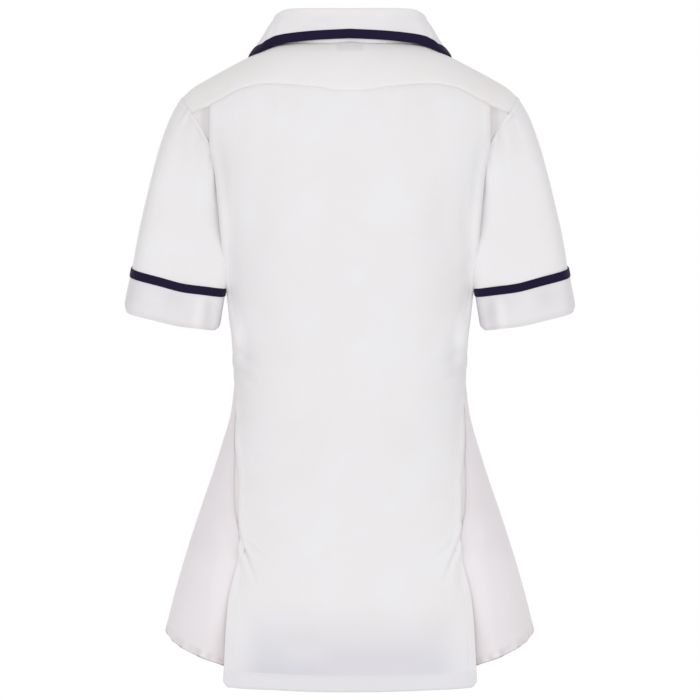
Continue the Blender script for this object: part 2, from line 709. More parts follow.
def pleatLift(domain, edgeAngles):
    inward = (domain[..., 0] - edgeAngles[:, None] - backPanel["underlap"]) / backPanel["blend"]
    fall = backPanel["pleatEnd"] - backPanel["waist"]
    aboveWaist = ease((domain[..., 1] - backPanel["waist"]) / fall)
    belowYoke = 0.35 + 0.65 * ease((-0.09 - domain[..., 1]) / 0.05)
    return backPanel["pleatLift"] * (1 - ease(inward)) * aboveWaist * belowYoke


def clothUnevenness(points, seed, skirt=1.0):  # what no pressing takes out
    low = ease((-0.40 - points[..., 2]) / 0.28)
    lift = 0.50 * mm * wander(points, 0.060, seed)
    lift += 0.16 * mm * wander(points, 0.020, seed + 1)
    lift += 0.06 * mm * wander(points, 0.008, seed + 2)
    lift += skirt * 1.6 * mm * low * wander(points, (0.045, 0.045, 0.24), seed + 3)
    return lift


def makeBack():
    p = backPanel
    shares = spread(p["columns"], (0.58, 1.1, 0.5))
    top = between(evenly(yokeSeamAt, 400), shares)
    down = spread(p["rows"], (0.38, 0.50, 0.75), (0.71, 0.83, 0.5))
    outerHeights = pleatTopHeight + (p["corner"] - pleatTopHeight) * down
    middle = locate(0.0, p["seam"][0][1] + down * (p["hem"] - p["seam"][0][1]), True)
    outer = backOuterEdge(outerHeights)
    outer[0] = top[-1]
    hemAngles = math.pi / 2 + shares * (outer[-1, 0] - math.pi / 2)
    hem = joined(hemAngles, p["hem"] + (p["corner"] - p["hem"]) * shares**2)
    domain = coons(top, hem, middle, outer, shares, down)
    lift = pleatLift(domain, domain[:, -1, 0])
    base, outward, away = laid(domain, True)
    lift = np.concatenate([lift[:, :0:-1], lift], axis=1)
    sideways, height = away["side"], base[..., 2].copy()
    base[..., 1] += p["pleatFlat"] * inZone(height, *p["freeFold"]) * (1 - fade(sideways, 36))
    outward = sheetNormals(base, outward)
    side = np.where(base[..., 0] > 0, 1.0, -1.0)
    place = base[..., [0, 2]]
    folds = creases(place, bothSides(p["folds"])) + creases(place, p["drape"])
    folds += clothUnevenness(base, p["seed"])
    settle = fade(away["top"], 8) * (0.35 + 0.65 * fade(sideways, 10))
    lift = lift + folds * settle + creases(place, bothSides(p["ventFolds"]))
    lift += seamEdge(away["top"]) * 1.2
    lift += puckers(base[..., 0], away["top"], *p["topPuckers"])
    along = height + side * 0.4
    seamZone = inZone(height, *p["sideSeam"])
    lift += seamZone * puckers(along, sideways, *p["sidePuckers"])
    lift += 0.9 * mm * seamZone * bell(sideways - 3 * mm, 4 * mm)
    ventZone = below(height, p["ventTop"], 0.01)
    lift += ventZone * (stitchDip(sideways, p["ventStitch"]) + puckers(along, sideways, *p["ventPuckers"]))
    lift += stitchDip(away["bottom"], p["hemDepth"], 0.35)
    lift += puckers(base[..., 0], np.abs(away["bottom"] - 10 * mm), *p["hemPuckers"])
    pleatZone = ease((height - p["pleatEnd"]) / 0.05)
    lift += 0.7 * mm * pleatZone * bell(sideways - 5 * mm, 5 * mm)
    inPleat = pleatZone * below(height, p["pleatHollowTop"], 0.05)
    lift -= 1.8 * mm * inPleat * bell(sideways - 17 * mm, 9 * mm)
    hang = np.clip((p["hangFrom"] - height) / (p["hangFrom"] - p["hem"] - p["hemDepth"]), 0, 1.2)
    inMiddle = fade(sideways - 12 * mm, 50)
    lift -= p["hangDepth"] * inMiddle * (hang**2 - 1.6 * np.clip(hang - 1, 0, 1))
    grid = base + outward * lift[..., None]
    fromSide, fromHem = (np.clip(p["hemCorner"] - edge, 0, None) for edge in (sideways, away["bottom"]))
    reach = np.maximum(np.hypot(fromSide, fromHem), 1e-9)
    pull = 1 - np.maximum(fromSide, fromHem) / reach
    grid += (pull * fromHem)[..., None] * [0, 0, 1] - (pull * fromSide * side)[..., None] * [1, 0, 0]
    uv = cutPlan(away["left"] - away["left"][:, -1:] / 2, away["top"])
    thicker = clothSizes["hemWall"] - clothSizes["wall"]
    wall = clothSizes["wall"] + thicker * fade(p["hemDepth"] - away["bottom"], 2)
    sew(lineAt(grid, away["bottom"], p["hemDepth"], slice(12, -12)))
    for end in ("left", "right"):
        line = columnAt(grid, away[end], p["ventStitch"])
        sew(line[(line[:, 2] < p["ventTop"] - 0.035) & (line[:, 2] > p["corner"] + 0.02)])
    low = ease((p["shadeFrom"] - height) / (p["shadeFrom"] - p["hem"] - p["hemDepth"]))
    onHem = fade(p["hemDepth"] + 0.5 * mm - away["bottom"], 1.5)
    patch = wander(base, p["patch"], 25)
    under = low * (1 - onHem) * (0.75 + 0.2 * patch) * (0.25 + 0.75 * fade(sideways - 8 * mm, 40))
    under += p["hemShade"] * onHem
    for x, z, wide, high, strength in p["hollows"]:
        under += strength * bell(np.abs(base[..., 0]) - x, wide) * bell(height - z, high)
    sheet = rollBoth([grid, outward, uv], 0.9 * mm, 6 * mm)
    wall, under = (np.pad(values, ((0, 0), (9, 9)), mode="edge") for values in (wall, under))
    wall[:, :12] = wall[:, -12:] = 0.6 * mm
    return clothPiece("back", sheet, wall, under=under)


dress(makeBack(), ["back_panel"], whiteCloth)

# Yoke
yoke = {
    "neckColumns": 38,
    "columns": 92,
    "rows": 27,
    "ply": 0.45 * mm,  # it lies double, so it stands above the back
    "topstitch": 2.3 * mm,
    "label": (0.0150, -0.0035, -0.0125, 3.0 * mm),  # half width, top, bottom, softness of what shows through
    "seed": 31,
    "seamPuckers": (8, 0.16, 6, 33),
    "cut": (0.42, 0.10, 0.74),
    "folds": (
        (150, -62, 142, -50, 128, -34, 7, 0.5, 0.8), (120, -50, 112, -36, 104, -26, 7, 0.4, 0.6),
        (170, -74, 163, -60, 156, -44, 6, 0.45, 0.9), (60, -48, 58, -34, 60, -20, 7, 0.3, 0.7),
    ),
}


def neckLine(share):  # the back neckline, from the nape to the ridge
    share = np.asarray(share, float)
    across = bodyForm["neckHalfWidth"] * np.sin(share * math.pi / 2)
    nape = locate(0.0, 0.0, True)[1]
    turn, power = bodyForm["backTurn"]
    station = nape + (ridgeStation(True) - nape) * (1 - np.cos(share * math.pi / 2))
    rise = np.sin((station - turn) / bodyForm["turnScale"]) ** (2 / power)
    domain = locate(across, turn + (ridgeHeight(across) - turn) * rise, True)
    domain[..., 1] = station
    return domain


def shoulderLine(share, back):  # along the ridge, from the neck to the armhole
    start = bodyForm["neckHalfWidth"]
    across = start + (armhole["tip"][0] - start) * np.asarray(share, float)
    domain = locate(across, ridgeHeight(across), back)
    domain[..., 1] = ridgeStation(back)
    return domain


def makeYoke():
    p = yoke
    neck = evenly(neckLine, p["neckColumns"] + 1)
    shoulder = evenly(lambda share: shoulderLine(share, True), p["columns"] - p["neckColumns"])[1:]
    top = np.concatenate([neck, shoulder])
    seam = evenly(yokeSeamAt, p["columns"], 0, 2)
    outer = evenly(armholeAt, p["rows"], 0, armhole["yokeEnd"])
    outer[-1] = seam[-1]
    top[-1] = outer[0]
    middle = np.linspace(top[0], seam[0], p["rows"])
    domain = coons(top, seam, middle, outer)
    base, outward, away = laid(domain, True)
    folds = creases(base[..., [0, 2]], bothSides(p["folds"])) + 0.6 * clothUnevenness(base, p["seed"])
    edges = np.minimum(np.minimum(away["bottom"], away["side"]), away["top"])
    lift = folds * fade(edges, 7) + p["ply"] * fade(away["bottom"], 1.6)
    lift += 0.8 * seamEdge(away["bottom"]) + 0.5 * seamEdge(away["top"])
    lift += stitchDip(away["bottom"], p["topstitch"], 0.3, 0.7)
    lift += puckers(base[..., 0], away["bottom"], *p["seamPuckers"])
    half, high, low, soft = p["label"]
    across, height = np.abs(base[..., 0]), base[..., 2]
    inLabel = ease((half + soft / 2 - across) / soft)
    inLabel = inLabel * ease((high + soft / 2 - height) / soft) * ease((height - low + soft / 2) / soft)
    lift += 0.2 * mm * inLabel
    grid = base + outward * lift[..., None]
    uv = cutPlan(base[..., 0], away["top"])
    sew(lineAt(grid, away["bottom"], p["topstitch"], slice(2, -2)))
    return clothPiece("yokeDouble", [grid, outward, uv], clothSizes["doubleWall"], under=0.45 * inLabel)


dress(makeYoke(), ["yoke"], yokeCloth)

# Hidden layers of the pleats
underlay = {
    "rows": 130,
    "columns": 26,
    "hollow": 0.8 * mm,
    "allowance": 0.03,  # radians: it runs on past the armhole seam, under the sleeve
    "seed": 41,
    "sidePuckers": (10, 0.5, 9, 42),
    "cut": (0.052, 0.28, 0.46),
}


def sideSeam(height):  # the front's rear edge: it nears the pleat below the underarm, then meets the back
    height = np.asarray(height, float)
    edge = backOuterEdge(height)
    edge[..., 0] *= ease((armhole["underarm"] - height) / (armhole["underarm"] - backPanel["pleatEnd"]))
    return edge


def underlayOuter(share):  # 0 to 1 round the back of the armhole, 1 to 2 down the side seam
    turn = armhole["yokeEnd"] + (180 - armhole["yokeEnd"]) * np.clip(share, 0, 1)
    height = armhole["underarm"] + (backPanel["pleatEnd"] - armhole["underarm"]) * np.clip(share - 1, 0, 1)
    return np.where((share <= 1)[..., None], armholeAt(turn), sideSeam(height))


def makeUnderlay():
    p = underlay
    outer = evenly(underlayOuter, p["rows"], 0, 2)
    outer[:, 0] -= p["allowance"] * ease((outer[:, 1] - armhole["underarm"]) / 0.04)
    top = evenly(yokeSeamAt, p["columns"], 2.0, 0.80)
    heights = body(outer)[:, 2]
    inner = backOuterEdge(np.minimum(heights, pleatTopHeight))
    inner[:, 0] += backPanel["underlap"]
    inner[0], outer[0] = top[-1], top[0]
    bottom = np.linspace(outer[-1], inner[-1], p["columns"])
    domain = coons(top, bottom, outer, inner)
    base, outward, away = laid(domain, True, whole=False)
    edge = backEdge(np.minimum(base[..., 2], pleatTopHeight))
    gap = base[..., 0] - edge  # how far outside the pleat's edge
    depth = p["hollow"] * ease((base[..., 2] + 0.215) / 0.07) * fade(10 * mm - gap, 9)
    lift = -depth * fade(away["left"], 4) * fade(away["top"] + 3 * mm, 6)
    lift += 0.5 * clothUnevenness(base, p["seed"]) * fade(away["left"], 8) + seamEdge(away["left"])
    lift += puckers(base[..., 2], away["left"], *p["sidePuckers"])
    lift -= 0.5 * mm * fade(2 * mm - gap, 4)
    uv = cutPlan(away["left"], away["top"])
    under = fade(14 * mm - gap, 7) * ease((base[..., 2] + 0.175) / 0.04)
    return [base + outward * lift[..., None], outward, uv], 0.6 * under


def dressPair(name, node, sheet, wall, material, under=None):  # the left piece and its mirror image
    pieces = [clothPiece(f"{name}{side}", values, wall, under=under)
              for side, values in (("Left", sheet), ("Right", flipped(*sheet)))]
    for piece, side in zip(pieces, ("left", "right")):
        dress(piece, [f"{node}_{side}"], material)


sheet, under = makeUnderlay()
dressPair("pleatUnderlay", "pleat_underlay", sheet, clothSizes["wall"], pleatCloth, under)

# Fronts
front = {
    "rows": 284,
    "columns": 104,
    "evening": (90, -0.32, 0.08),  # of its grid, whose edges turn corners: rounds, from what height, softness
    "sewnBelow": (-0.34, 0.03),  # height and softness of the start of the side seam
    "breakHeight": -0.138,
    "hemMiddle": -0.700,
    "hemSide": -0.6632,
    "hemVent": -0.7030,
    "hemPeak": 0.12,
    "ventUnderlap": 0.075,
    "ventTuck": 4.0 * mm,
    "tuckZone": (42 * mm, 34, 35 * mm),  # from the edge; reach in mm; how far above the vent it starts
    "hemDepth": 10 * mm,
    "seed": 51,
    "hemPuckers": (10, 1.5, 7, 53),
    "shadow": (0.75, -0.57, 0.05),  # of the back on it: strength, from what height, softness
    "shadowWidth": (1.5 * mm, 11 * mm, -0.60, 0.11),  # at the vent's top; growth, from what height, softness
    "tack": (0.8, -0.554, 4 * mm, 1.8 * mm),  # dark spot atop the vent: strength, height, half sizes
    "tints": (0.08, 0.06, 0.12, 0.6, 0.22),  # along the seam, low down, on the strip, at its edge, on the hem
    "cut": (0.27, 0.74, 0.78),
    "folds": (  # mm: distance round from the middle, z
        (66, -205, 96, -190, 128, -170, 9, 1.5, 0), (70, -222, 100, -218, 134, -205, 8, 1, 0),
        (60, -240, 58, -300, 66, -352, 14, 1.4, 0), (168, -374, 140, -380, 108, -392, 6, 1.6, 1),
        (170, -352, 150, -356, 126, -366, 6, 1.2, 1), (166, -398, 148, -404, 124, -410, 5, 1, 1),
        (96, -384, 70, -388, 40, -380, 8, 1, 0), (50, -452, 58, -560, 62, -690, 17, 2.6, 0),
        (104, -440, 120, -560, 126, -690, 16, 3, 0), (160, -452, 182, -560, 190, -680, 14, 2.6, 0),
        (22, -150, 30, -200, 34, -262, 10, 1, 0.5), (96, -20, 92, -60, 100, -110, 11, 1, 0.3),
        (140, -95, 128, -112, 118, -150, 9, 1.2, 0.8),
    ),
    "seamStrip": (  # turned cloth that shows along the side seam: height, width in mm
        (-0.6, 0.3), (-0.55, 1), (-0.54, 3), (-0.526, 6), (-0.512, 7.5), (-0.493, 8), (-0.47, 5.2), (-0.452, 3),
        (-0.4, 2.6), (-0.38, 0.5),
    ),
    "leftOnly": (
        (30, -560, 26, -620, 34, -690, 12, 1.4, 0), (122, -470, 100, -476, 74, -500, 8, 1.1, 0.1),
        (148, -270, 130, -282, 104, -286, 9, 1.3, 0.4),
    ),
    "rightOnly": (
        (84, -560, 82, -620, 90, -690, 12, 1.5, 0), (150, -455, 128, -470, 96, -474, 8, 1.2, 0.1),
        (150, -300, 126, -306, 98, -322, 9, 1.3, 0.4),
    ),
}


def vLine(share):  # the V, from the side of the neck to its end: distance from the middle, height
    start = float(ridgeHeight(bodyForm["neckHalfWidth"]))
    return bodyForm["neckHalfWidth"] * (1 - share), start + (front["breakHeight"] - start) * share


def frontMiddle(share):  # 0 to 1 down the V, 1 to 2 down the middle
    share = np.asarray(share, float)
    edge = locate(*vLine(np.clip(share, 0, 1)), False)
    edge[..., 1] = np.where(share <= 0, ridgeStation(False), edge[..., 1])
    height = front["breakHeight"] + (front["hemMiddle"] - front["breakHeight"]) * np.clip(share - 1, 0, 1)
    return np.where((share <= 1)[..., None], edge, locate(0.0, height, False))


def frontOuter(share):  # 0 to 1 round the front of the armhole, 1 to 2 down the side
    share = np.asarray(share, float)
    height = armhole["underarm"] + (front["hemVent"] - armhole["underarm"]) * np.clip(share - 1, 0, 1)
    side = sideSeam(height)
    side[..., 0] += front["ventUnderlap"] * below(height, backPanel["ventTop"], 0.03)
    return np.where((share <= 1)[..., None], armholeAt(360 - 180 * np.clip(share, 0, 1)), side)


def frontHem(angles, ventAngle):
    p = front
    softened = np.sqrt(angles**2 + p["hemPeak"] ** 2) - p["hemPeak"]
    ahead = (p["hemMiddle"] - p["hemSide"]) * np.sin(np.minimum(softened, math.pi / 2))
    behind = (p["hemVent"] - p["hemSide"]) * softened / ventAngle
    return p["hemSide"] + np.where(angles < 0, ahead, behind)


def makeFront(side):
    p = front
    middle = evenly(frontMiddle, p["rows"], 0, 2)
    outer = evenly(frontOuter, p["rows"], 0, 2)
    shares = spread(p["columns"], (0.84, 1.1, 0.22))
    top = between(evenly(lambda share: shoulderLine(share, False), 400), shares)
    angles = middle[-1, 0] + (outer[-1, 0] - middle[-1, 0]) * shares
    hem = joined(angles, frontHem(angles, outer[-1, 0]))
    middle[0], outer[0], middle[-1], outer[-1] = top[0], top[-1], hem[0], hem[-1]
    domain = coons(top, hem, middle, outer, shares)
    inner = domain[1:-1, 1:-1]
    rounds, low, soft = p["evening"]
    upper = ease((inner[..., 1:] - low) / soft)
    for _ in range(rounds):
        mean = (domain[:-2, 1:-1] + domain[2:, 1:-1] + domain[1:-1, :-2] + domain[1:-1, 2:]) / 4
        inner += upper * (mean - inner)
    base, outward = body(domain), roundNormals(domain)
    away = lengths(base)
    height = base[..., 2]
    inset = np.interp(height, [p["breakHeight"], 0.003], [0, bodyForm["neckHalfWidth"]])
    place = joined(away["left"] + inset, height)
    folds = creases(place, p["folds"]) + creases(place, p[f"{side}Only"])
    folds += clothUnevenness(base + (0.0 if side == "left" else 0.37), p["seed"], 1.3)
    free = below(height, backPanel["ventTop"], 0.03)
    settle = 0.3 + 0.7 * fade(away["right"], 9)
    settle *= fade(away["left"], 10) * 0.8 + 0.2
    lift = folds * settle * fade(away["top"], 10)
    sewn = away["right"] + 0.05 * free
    lift += seamEdge(sewn) + seamEdge(away["top"])
    seamZone = ease((p["sewnBelow"][0] - height) / p["sewnBelow"][1]) * (1 - free)
    lift += puckers(height, sewn, 11, 0.3 + 0.3 * seamZone, 11, 52)
    strip = smoothTable(p["seamStrip"])(height) * mm
    inStrip = seamZone * fade(strip + 0.6 * mm - sewn, 1.2)
    lift += (0.7 * bell(sewn - strip - 2.2 * mm, 2 * mm) - 0.3) * seamZone * mm - 0.8 * mm * inStrip
    fromEdge, reach, above = p["tuckZone"]
    tucked = fade(fromEdge - away["right"], reach) * ease((backPanel["ventTop"] + above - height) / above)
    lift -= p["ventTuck"] * tucked
    lift += stitchDip(away["bottom"], p["hemDepth"], 0.4, 1.1)
    lift += puckers(place[..., 0], away["bottom"] - 4 * mm, *p["hemPuckers"])
    grid = base + outward * lift[..., None]
    uv = cutPlan(place[..., 0], away["top"])
    wall = clothSizes["wall"] + 0.9 * mm * fade(p["hemDepth"] - away["bottom"], 2)
    line = lineAt(grid, away["bottom"], p["hemDepth"], slice(2, -4))
    if side == "right":
        grid, outward, uv, line = flipped(grid, outward, uv, line)
    sew(line)
    outside = np.where(domain[..., 0] > 0, base[..., 0] - backEdge(height), 1.0)
    narrow, wider, level, soft = p["shadowWidth"]
    wedge = narrow + wider * below(height, level, soft)
    strength, level, soft = p["shadow"]
    outside = np.clip(outside, 0, None)
    under = free * strength * below(height, level, soft) * np.exp(-(outside / wedge) ** 1.5)
    atSeam, lowDown, onStrip, atStrip, onHem = p["tints"]
    under += atSeam * seamZone + lowDown * below(height, -0.60, 0.08)
    under += onStrip * inStrip + atStrip * seamZone * bell(sewn - strip, 1.4 * mm)
    strength, level, high, wide = p["tack"]
    under += strength * bell(height - level, high) * bell(outside, wide)
    hemPatch = wander(joined(place[..., 0], away["bottom"] * 0.4, 0 * height), 7 * mm, p["seed"] + 3)
    under += onHem * (0.5 + hemPatch) * fade(p["hemDepth"] + 2 * mm - away["bottom"], 4)
    under = np.clip(under, 0, 1)
    return clothPiece(f"front{side.capitalize()}", [grid, outward, uv], wall, under=under)


for side in ("left", "right"):
    dress(makeFront(side), [f"front_{side}", f"front_skirt_{side}"], frontCloth)

band = {
    "halfWidth": 0.015,
    "lift": 1.9 * mm,
    "stitch": 4.5 * mm,
    "seed": 61,
    "edgePuckers": (9, 0.2, 5, 62),
    "rows": 230,
    "columns": 15,
    "cut": (0.036, 0.585, 0.98),
}


def makeBand():
    p = band
    heights = np.linspace(front["breakHeight"] - 0.004, front["hemMiddle"], p["rows"])
    domain = locate(np.linspace(0, p["halfWidth"], p["columns"])[None, :], heights[:, None], False)
    base, outward, away = laid(domain, False)
    side = away["side"]
    lift = p["lift"] + 0.5 * clothUnevenness(base, p["seed"]) + stitchDip(side, p["stitch"], 0.25)
    lift += puckers(base[..., 2], side - 2 * mm, *p["edgePuckers"]) - 0.3 * mm * fade(3 * mm - side, 3)
    grid = base + outward * lift[..., None]
    uv = cutPlan(base[..., 0], away["top"])
    for edge in ("left", "right"):
        sew(columnAt(grid, away[edge], p["stitch"]))
    return clothPiece("frontBand", rollBoth([grid, outward, uv], 0.7 * mm, 2 * mm), 0.6 * mm)


dress(makeBand(), ["front_band"], frontCloth)

lapel = {
    "gorge": 0.36,  # how far down the V the collar ends
    "width": 0.046,
    "lift": 2.2 * mm,
    "stitch": 4.0 * mm,
    "seed": 71,
    "rows": 56,
    "columns": 26,
    "cut": (0.055, 0.115, 0.66),
}


def makeLapel():
    p = lapel
    shares = np.linspace(p["gorge"] + 0.015, 0.985, p["rows"])
    widths = p["width"] * np.sin((1 - shares) / (1 - p["gorge"]) * math.pi / 2) ** 0.8
    across, heights = vLine(shares)
    slope = math.atan2(-front["breakHeight"], bodyForm["neckHalfWidth"])
    steps = np.linspace(0, 1, p["columns"])
    x = across[:, None] + widths[:, None] * steps * math.sin(slope)
    z = heights[:, None] - widths[:, None] * steps * math.cos(slope)
    domain = locate(x, z, False)
    base, outward, away = laid(domain, False, whole=False)
    edge = np.minimum(away["right"], away["top"])
    lift = p["lift"] + 0.5 * clothUnevenness(base, p["seed"]) + 1.6 * mm * bell(away["left"], 9 * mm)
    lift += stitchDip(edge, p["stitch"], 0.22) - 0.5 * mm * fade(4 * mm - edge, 4)
    grid = base + outward * lift[..., None]
    uv = cutPlan(away["left"], away["top"])
    line = columnAt(grid, away["right"], p["stitch"])[4:-8]
    sew(line, *flipped(line))
    sheet = rollUnder([grid, outward, uv], "left", 1.7 * mm, 3 * mm)
    sheet = rollUnder(sheet, "right", 0.8 * mm, 3 * mm)
    return rollUnder(sheet, "top", 0.8 * mm, 3 * mm)


dressPair("lapel", "lapel", makeLapel(), 0.7 * mm, frontCloth)

# Sleeves, cuffs and their braid
sleeve = {
    "cuffCentre": (0.1957, -0.004, -0.2685),
    "halfWidth": 0.0545,
    "halfDepth": 0.0520,
    "square": (3.9, 6.5),  # squareness of its section, on the outer side and next to the body
    "creaseBack": 21 * mm,  # next to the body its front half lies this much further out
    "innerIn": 4.9 * mm,  # and its inner side lies nearer
    "innerUp": 4.5 * mm,  # and higher
    "outerUp": 1.5 * mm,
    "sag": (2.1 * mm, -0.12, 0.42),  # of its back: how deep, where (cosine of the turn), over what width
    "narrowing": (5.0 * mm, 0.35),  # of the cuff next to the body, and at what share of its length it is nil
    "leanIn": 11.5 * mm,  # halfway down the sleeve leans this far against the body
    "outward": (0.50, 0.27, 0.12),  # how it leaves the armhole: all round, more on top, more at front and back
    "backward": -0.30,
    "steep": 1.22,
    "tip": math.radians(12),  # the cuff's outer side is the higher one
    "nod": math.radians(7),  # and its back the lower one
    "lean": math.radians(8.5),
    "start": 0.125,
    "end": 0.345,
    "columns": 176,
    "rows": 104,
    "evening": (30, 22, 0.07),  # at the shoulder tip: rounds, degrees, share of its length
    "seed": 81,  # 100 more on the right
    "fullness": (0.8, 0.6, 9 * mm),  # eased in at its head, in mm: mean, unevenness; and the size of that
    "headPuckers": (8, 0.75, 11),
    "endPuckers": (7, 0.35, 9),
    "cut": (0.40, 0.21, 0.62),
    "folds": (  # mm: distance round from the outer line, backwards positive; distance down from the armhole
        (118, 4, 112, 22, 100, 46, 5, 1.1, 1), (142, 6, 134, 26, 118, 52, 6, 1.4, 1),
        (172, 10, 150, 40, 132, 60, 7, 1.6, 0.7), (88, 3, 86, 16, 80, 34, 4, 0.7, 1),
        (64, 3, 63, 14, 60, 30, 4, 0.5, 1), (58, 70, 52, 110, 44, 160, 15, 1.2, 0),
        (2, 66, 0, 115, 2, 168, 30, 1.8, 0), (-60, 50, -70, 100, -64, 160, 15, 1.5, 0),
        (-118, 5, -112, 24, -98, 50, 6, 1.3, 1), (-150, 8, -138, 30, -120, 58, 6, 1.5, 0.9),
        (-90, 3, -88, 16, -84, 34, 4, 0.7, 1),
    ),
}
cuff = {
    "length": 0.0424,
    "flare": 1.055,
    "lift": 0.5 * mm,
    "rows": 22,
    "seed": 91,
    "seamPuckers": (7, 0.3, 12),
    "hemRound": (3.2 * mm, 7 * mm),  # how far the turned hem curls in, over what length
    "turnUp": 14 * mm,
    "tints": (0.42, 0.2, 0.45),  # mean, unevenness, at the fold next to the body
    "cut": (0.365, 0.043, 1.0),
    "folds": (
        (137, 7, 136, 22, 139, 46, 3.6, 1.7, 0.7), (84, 6, 80, 20, 84, 44, 12, 0.8, 0.5),
        (40, 10, 42, 22, 40, 44, 8, 0.5, 0.4), (-70, 8, -72, 22, -68, 44, 9, 0.8, 0.5),
        (-124, 6, -122, 20, -126, 44, 6, 1.2, 0.7),
    ),
    "trimWidth": 9.8 * mm,
    "trimLift": 1.0 * mm,
    "topstitch": 9.8 * mm / 2 + 2.4 * mm,  # from the seam between cuff and sleeve
    "trimCut": (0.36, 0.0105, 1.0),
}


def sleeveFrame():
    outward = np.array([math.cos(sleeve["tip"]), 0, math.sin(sleeve["tip"])])
    backward = np.array([0, math.cos(sleeve["nod"]), -math.sin(sleeve["nod"])])
    downward = unit(np.array([math.sin(sleeve["lean"]), -math.sin(sleeve["nod"]), -1.0]))
    return outward, backward, downward


def cuffRing(turns, down):
    outward, backward, downward = sleeveFrame()
    size = 1 + (cuff["flare"] - 1) * down / cuff["length"]
    ring = np.array(sleeve["cuffCentre"]) + downward * down
    c, s = np.cos(turns)[:, None], np.sin(turns)[:, None]
    power = sleeve["square"][0] + (sleeve["square"][1] - sleeve["square"][0]) * (1 - c) / 2
    grow = size / (np.abs(c) ** power + np.abs(s) ** power) ** (1 / power)
    ring = ring + grow * sleeve["halfWidth"] * c * outward + grow * sleeve["halfDepth"] * s * backward
    inner = (1 - c[:, 0]) / 2
    ring[:, 0] += sleeve["creaseBack"] * inner * (1 - s[:, 0]) / 2
    ring[:, 0] -= sleeve["innerIn"] * inner**2
    ring[:, 2] += sleeve["innerUp"] * inner**3
    depth, at, width = sleeve["sag"]
    ring[:, 2] -= depth * bell(c[:, 0] - at, width) * np.clip(s[:, 0], 0, 1)
    narrower, level = sleeve["narrowing"]
    ring[:, 0] += narrower * np.clip(-c[:, 0], 0, 1) ** 2 * (down / cuff["length"] - level)
    ring[:, 2] += sleeve["outerUp"] * (1 + np.cos(turns)) * (1 - down / cuff["length"])
    return ring


def ringTurns():  # the sleeve's columns, evenly spaced round a blend of the armhole and the cuff
    fine = np.linspace(0, 360, 721)
    points = 0.5 * body(armholeAt(fine)) + 0.5 * cuffRing(np.radians(fine), 0)
    run = runAlong(points)
    return np.interp(np.arange(sleeve["columns"]) / sleeve["columns"] * run[-1], run, fine)


def tubeNormals(grid):
    around = np.roll(grid, -1, axis=1) - np.roll(grid, 1, axis=1)
    normals = unit(np.cross(around, np.gradient(grid, axis=0)))
    facing = np.sum(normals * (grid - grid.mean(axis=1, keepdims=True)))
    return normals if facing > 0 else -normals


def roundTube(grid):  # distance round from the outer line, backwards positive, and down from the top
    step = np.linalg.norm(np.roll(grid, -1, axis=1) - grid, axis=-1)
    run = np.concatenate([np.zeros((len(grid), 1)), np.cumsum(step, axis=1)[:, :-1]], axis=1)
    around = run.mean(axis=0, keepdims=True) * np.ones((len(grid), 1))
    total = step.sum(axis=1).mean()
    signed = np.where(around > total / 2, around - total, around)
    return around, signed, runAlong(grid)


turnsDegrees = ringTurns()
turnsRound = np.radians(turnsDegrees)


def makeSleeve(side):
    p = sleeve
    seed = p["seed"] + (0 if side == "left" else 100)
    ringDomain = armholeAt(turnsDegrees)
    start = body(ringDomain)
    end = cuffRing(turnsRound, 0)
    allRound, atTop, atSides = p["outward"]
    sideways = allRound + atTop * np.cos(turnsRound) + atSides * np.sin(turnsRound) ** 2
    startWay = unit(joined(sideways, p["backward"] * np.sin(turnsRound), sideways - p["steep"]))
    chord = np.linalg.norm(end - start, axis=1)[:, None]
    first, last = start + startWay * chord * p["start"], end - sleeveFrame()[2] * chord * p["end"]
    t = np.linspace(0, 1, p["rows"])[:, None, None]
    base = bezier(t, start, first, last, end)
    inner = (1 - np.cos(turnsRound)) / 2
    base[..., 0] -= p["leanIn"] * inner**2 * 4 * t[..., 0] * (1 - t[..., 0])
    atBody = bodyNormals(ringDomain, True)
    atBody[turnsDegrees > 180] = bodyNormals(ringDomain[turnsDegrees > 180], False)
    rounded = base.copy()
    rounds, wide, deep = p["evening"]
    for _ in range(rounds):
        rounded = (np.roll(rounded, 1, axis=1) + 2 * rounded + np.roll(rounded, -1, axis=1)) / 4
        atBody = unit(np.roll(atBody, 1, axis=0) + 2 * atBody + np.roll(atBody, -1, axis=0))
    atTip = bell((turnsDegrees + 180) % 360 - 180, wide)[:, None]
    base += (rounded - base) * ease(t / deep) * atTip  # no pinch runs on from the shoulder seam
    outward = tubeNormals(base)
    agree = np.sum(outward[0] * atBody, axis=-1)[:, None]
    around, signed, down = roundTube(base)
    blend = atBody * ease((agree + 0.2) / 0.5)
    outward = unit(outward + blend * bell(down, 9 * mm)[..., None])
    place = joined(signed, down)
    total = down[-1:]
    fromEnd = total - down
    folds = creases(place, p["folds"], 0.9 if side == "left" else 1.0)
    folds += 1.2 * clothUnevenness(base + (0 if side == "left" else 0.29), seed)
    lift = folds * fade(down, 6) * (0.3 + 0.7 * fade(fromEnd, 14))
    lift += 0.3 * mm * bell(down, 2 * mm)
    mean, uneven, size = p["fullness"]
    ripple = wander(joined(around, 0 * around, 0 * around), size, seed + 6)
    lift += (mean + uneven * ripple) * mm * bell(down - 3 * mm, 2.6 * mm)
    lift += puckers(around, down - 3 * mm, *p["headPuckers"], seed + 4)
    lift += puckers(around, fromEnd, *p["endPuckers"], seed + 5)
    lift += stitchDip(fromEnd, cuff["topstitch"], 0.3)
    grid = base + outward * lift[..., None]
    line = lineAt(grid, fromEnd, cuff["topstitch"])
    line = np.concatenate([line, line[:1]])
    uv = cutPlan(around, down)
    if side == "right":
        grid, outward, uv, line = flipped(grid, outward, uv, line)
    sew(line)
    return clothPiece(f"sleeve{side.capitalize()}", [grid, outward, uv], clothSizes["wall"], wrap=True)


